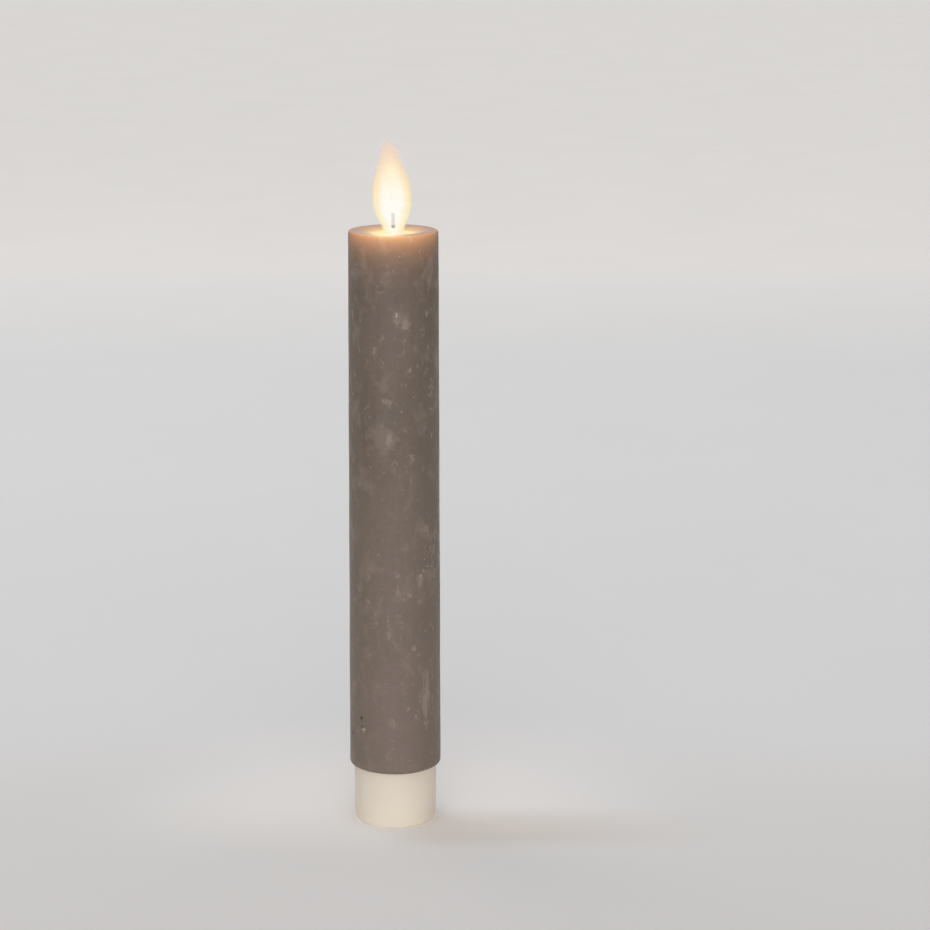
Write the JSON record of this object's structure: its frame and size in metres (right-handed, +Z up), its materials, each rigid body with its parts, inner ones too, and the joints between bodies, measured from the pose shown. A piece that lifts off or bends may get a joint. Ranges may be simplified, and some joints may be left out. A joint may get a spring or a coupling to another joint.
{
  "type": "flameless led candle",
  "caption": "Battery dinner candle with a rustic wax sleeve, a swinging lit flame blade and a twist-off base with a slide switch.",
  "frame": {"origin": "centre of the underside of the plastic base, on the surface it stands on", "axes": "+Z up along the candle's axis to the flame; -Y the front, the side that the flame blade's broad face and the wick show"},
  "size_m": [0.023, 0.023, 0.1722],
  "materials": {
    "wax": "rustic wax, finely streaked and pitted",
    "ivory_plastic": "satin moulded cream plastic",
    "black_plastic": "fine matte moulded black plastic",
    "flame_sheet": "thin translucent sheet, lit from below",
    "wick_fibre": "braided cotton with a stiffening coat",
    "nickel": "nickel plate, bright drawn",
    "steel": "zinc-plated steel",
    "copper": "enamelled copper wire",
    "board": "green solder-masked board",
    "chip_black": "moulded epoxy with tinned legs",
    "ceramic_part": "fired ceramic with tinned ends",
    "led_lens": "clear warm-white epoxy",
    "red_lead": "red insulated lead",
    "black_lead": "black insulated lead",
    "cell_jacket": "printed sleeve over a plated steel can"
  },
  "bodies": {
    "base": {"base_shell": "ivory_plastic", "cap_insert": "ivory_plastic", "contact_ring": "nickel", "negative_spring": "nickel", "switch_board": "board", "switch_case": "steel", "cap_screw_a": "steel", "cap_screw_b": "steel"},
    "switch_knob": {"switch_slider": "black_plastic"},
    "cells": {"cell_lower": "cell_jacket", "cell_upper": "cell_jacket"},
    "candle_body": {"wax_sleeve": "wax", "core_tube": "ivory_plastic", "bulkhead": "ivory_plastic", "positive_contact": "nickel", "ground_strip": "nickel", "circuit_board": "board", "driver_chip": "chip_black", "timer_crystal": "steel", "filter_capacitor": "ceramic_part", "led_resistor": "chip_black", "coil_resistor": "chip_black", "housing_front": "black_plastic", "housing_rear": "black_plastic", "coil_bobbin": "ivory_plastic", "coil_winding": "copper", "coil_lead_a": "copper", "coil_lead_b": "copper", "led": "led_lens", "led_holder": "black_plastic", "led_lead_a": "red_lead", "led_lead_b": "black_lead", "flame_seat": "ivory_plastic", "pivot_wire": "steel"},
    "flame": {"flame_blade": "flame_sheet", "wick": "wick_fibre", "magnet_front": "nickel", "magnet_rear": "nickel"}
  },
  "joints": [
    {"name": "flame_swing", "type": "hinge", "parent": "candle_body", "child": "flame", "pos_m": [0, 0, 0.14305], "axis": [0, 1, 0], "range_deg": [-12, 12]},
    {"name": "candle_twist", "type": "hinge", "parent": "base", "child": "cells", "pos_m": [0, 0, 0.0181], "axis": [0, 0, 1], "range_deg": [0, 35]},
    {"name": "candle_lift", "type": "slide", "parent": "cells", "child": "candle_body", "axis": [0, 0, 1], "range_m": [0, 0.102]},
    {"name": "switch_slide", "type": "slide", "parent": "base", "child": "switch_knob", "axis": [1, 0, 0], "range_m": [0, 0.004]}
  ]
}
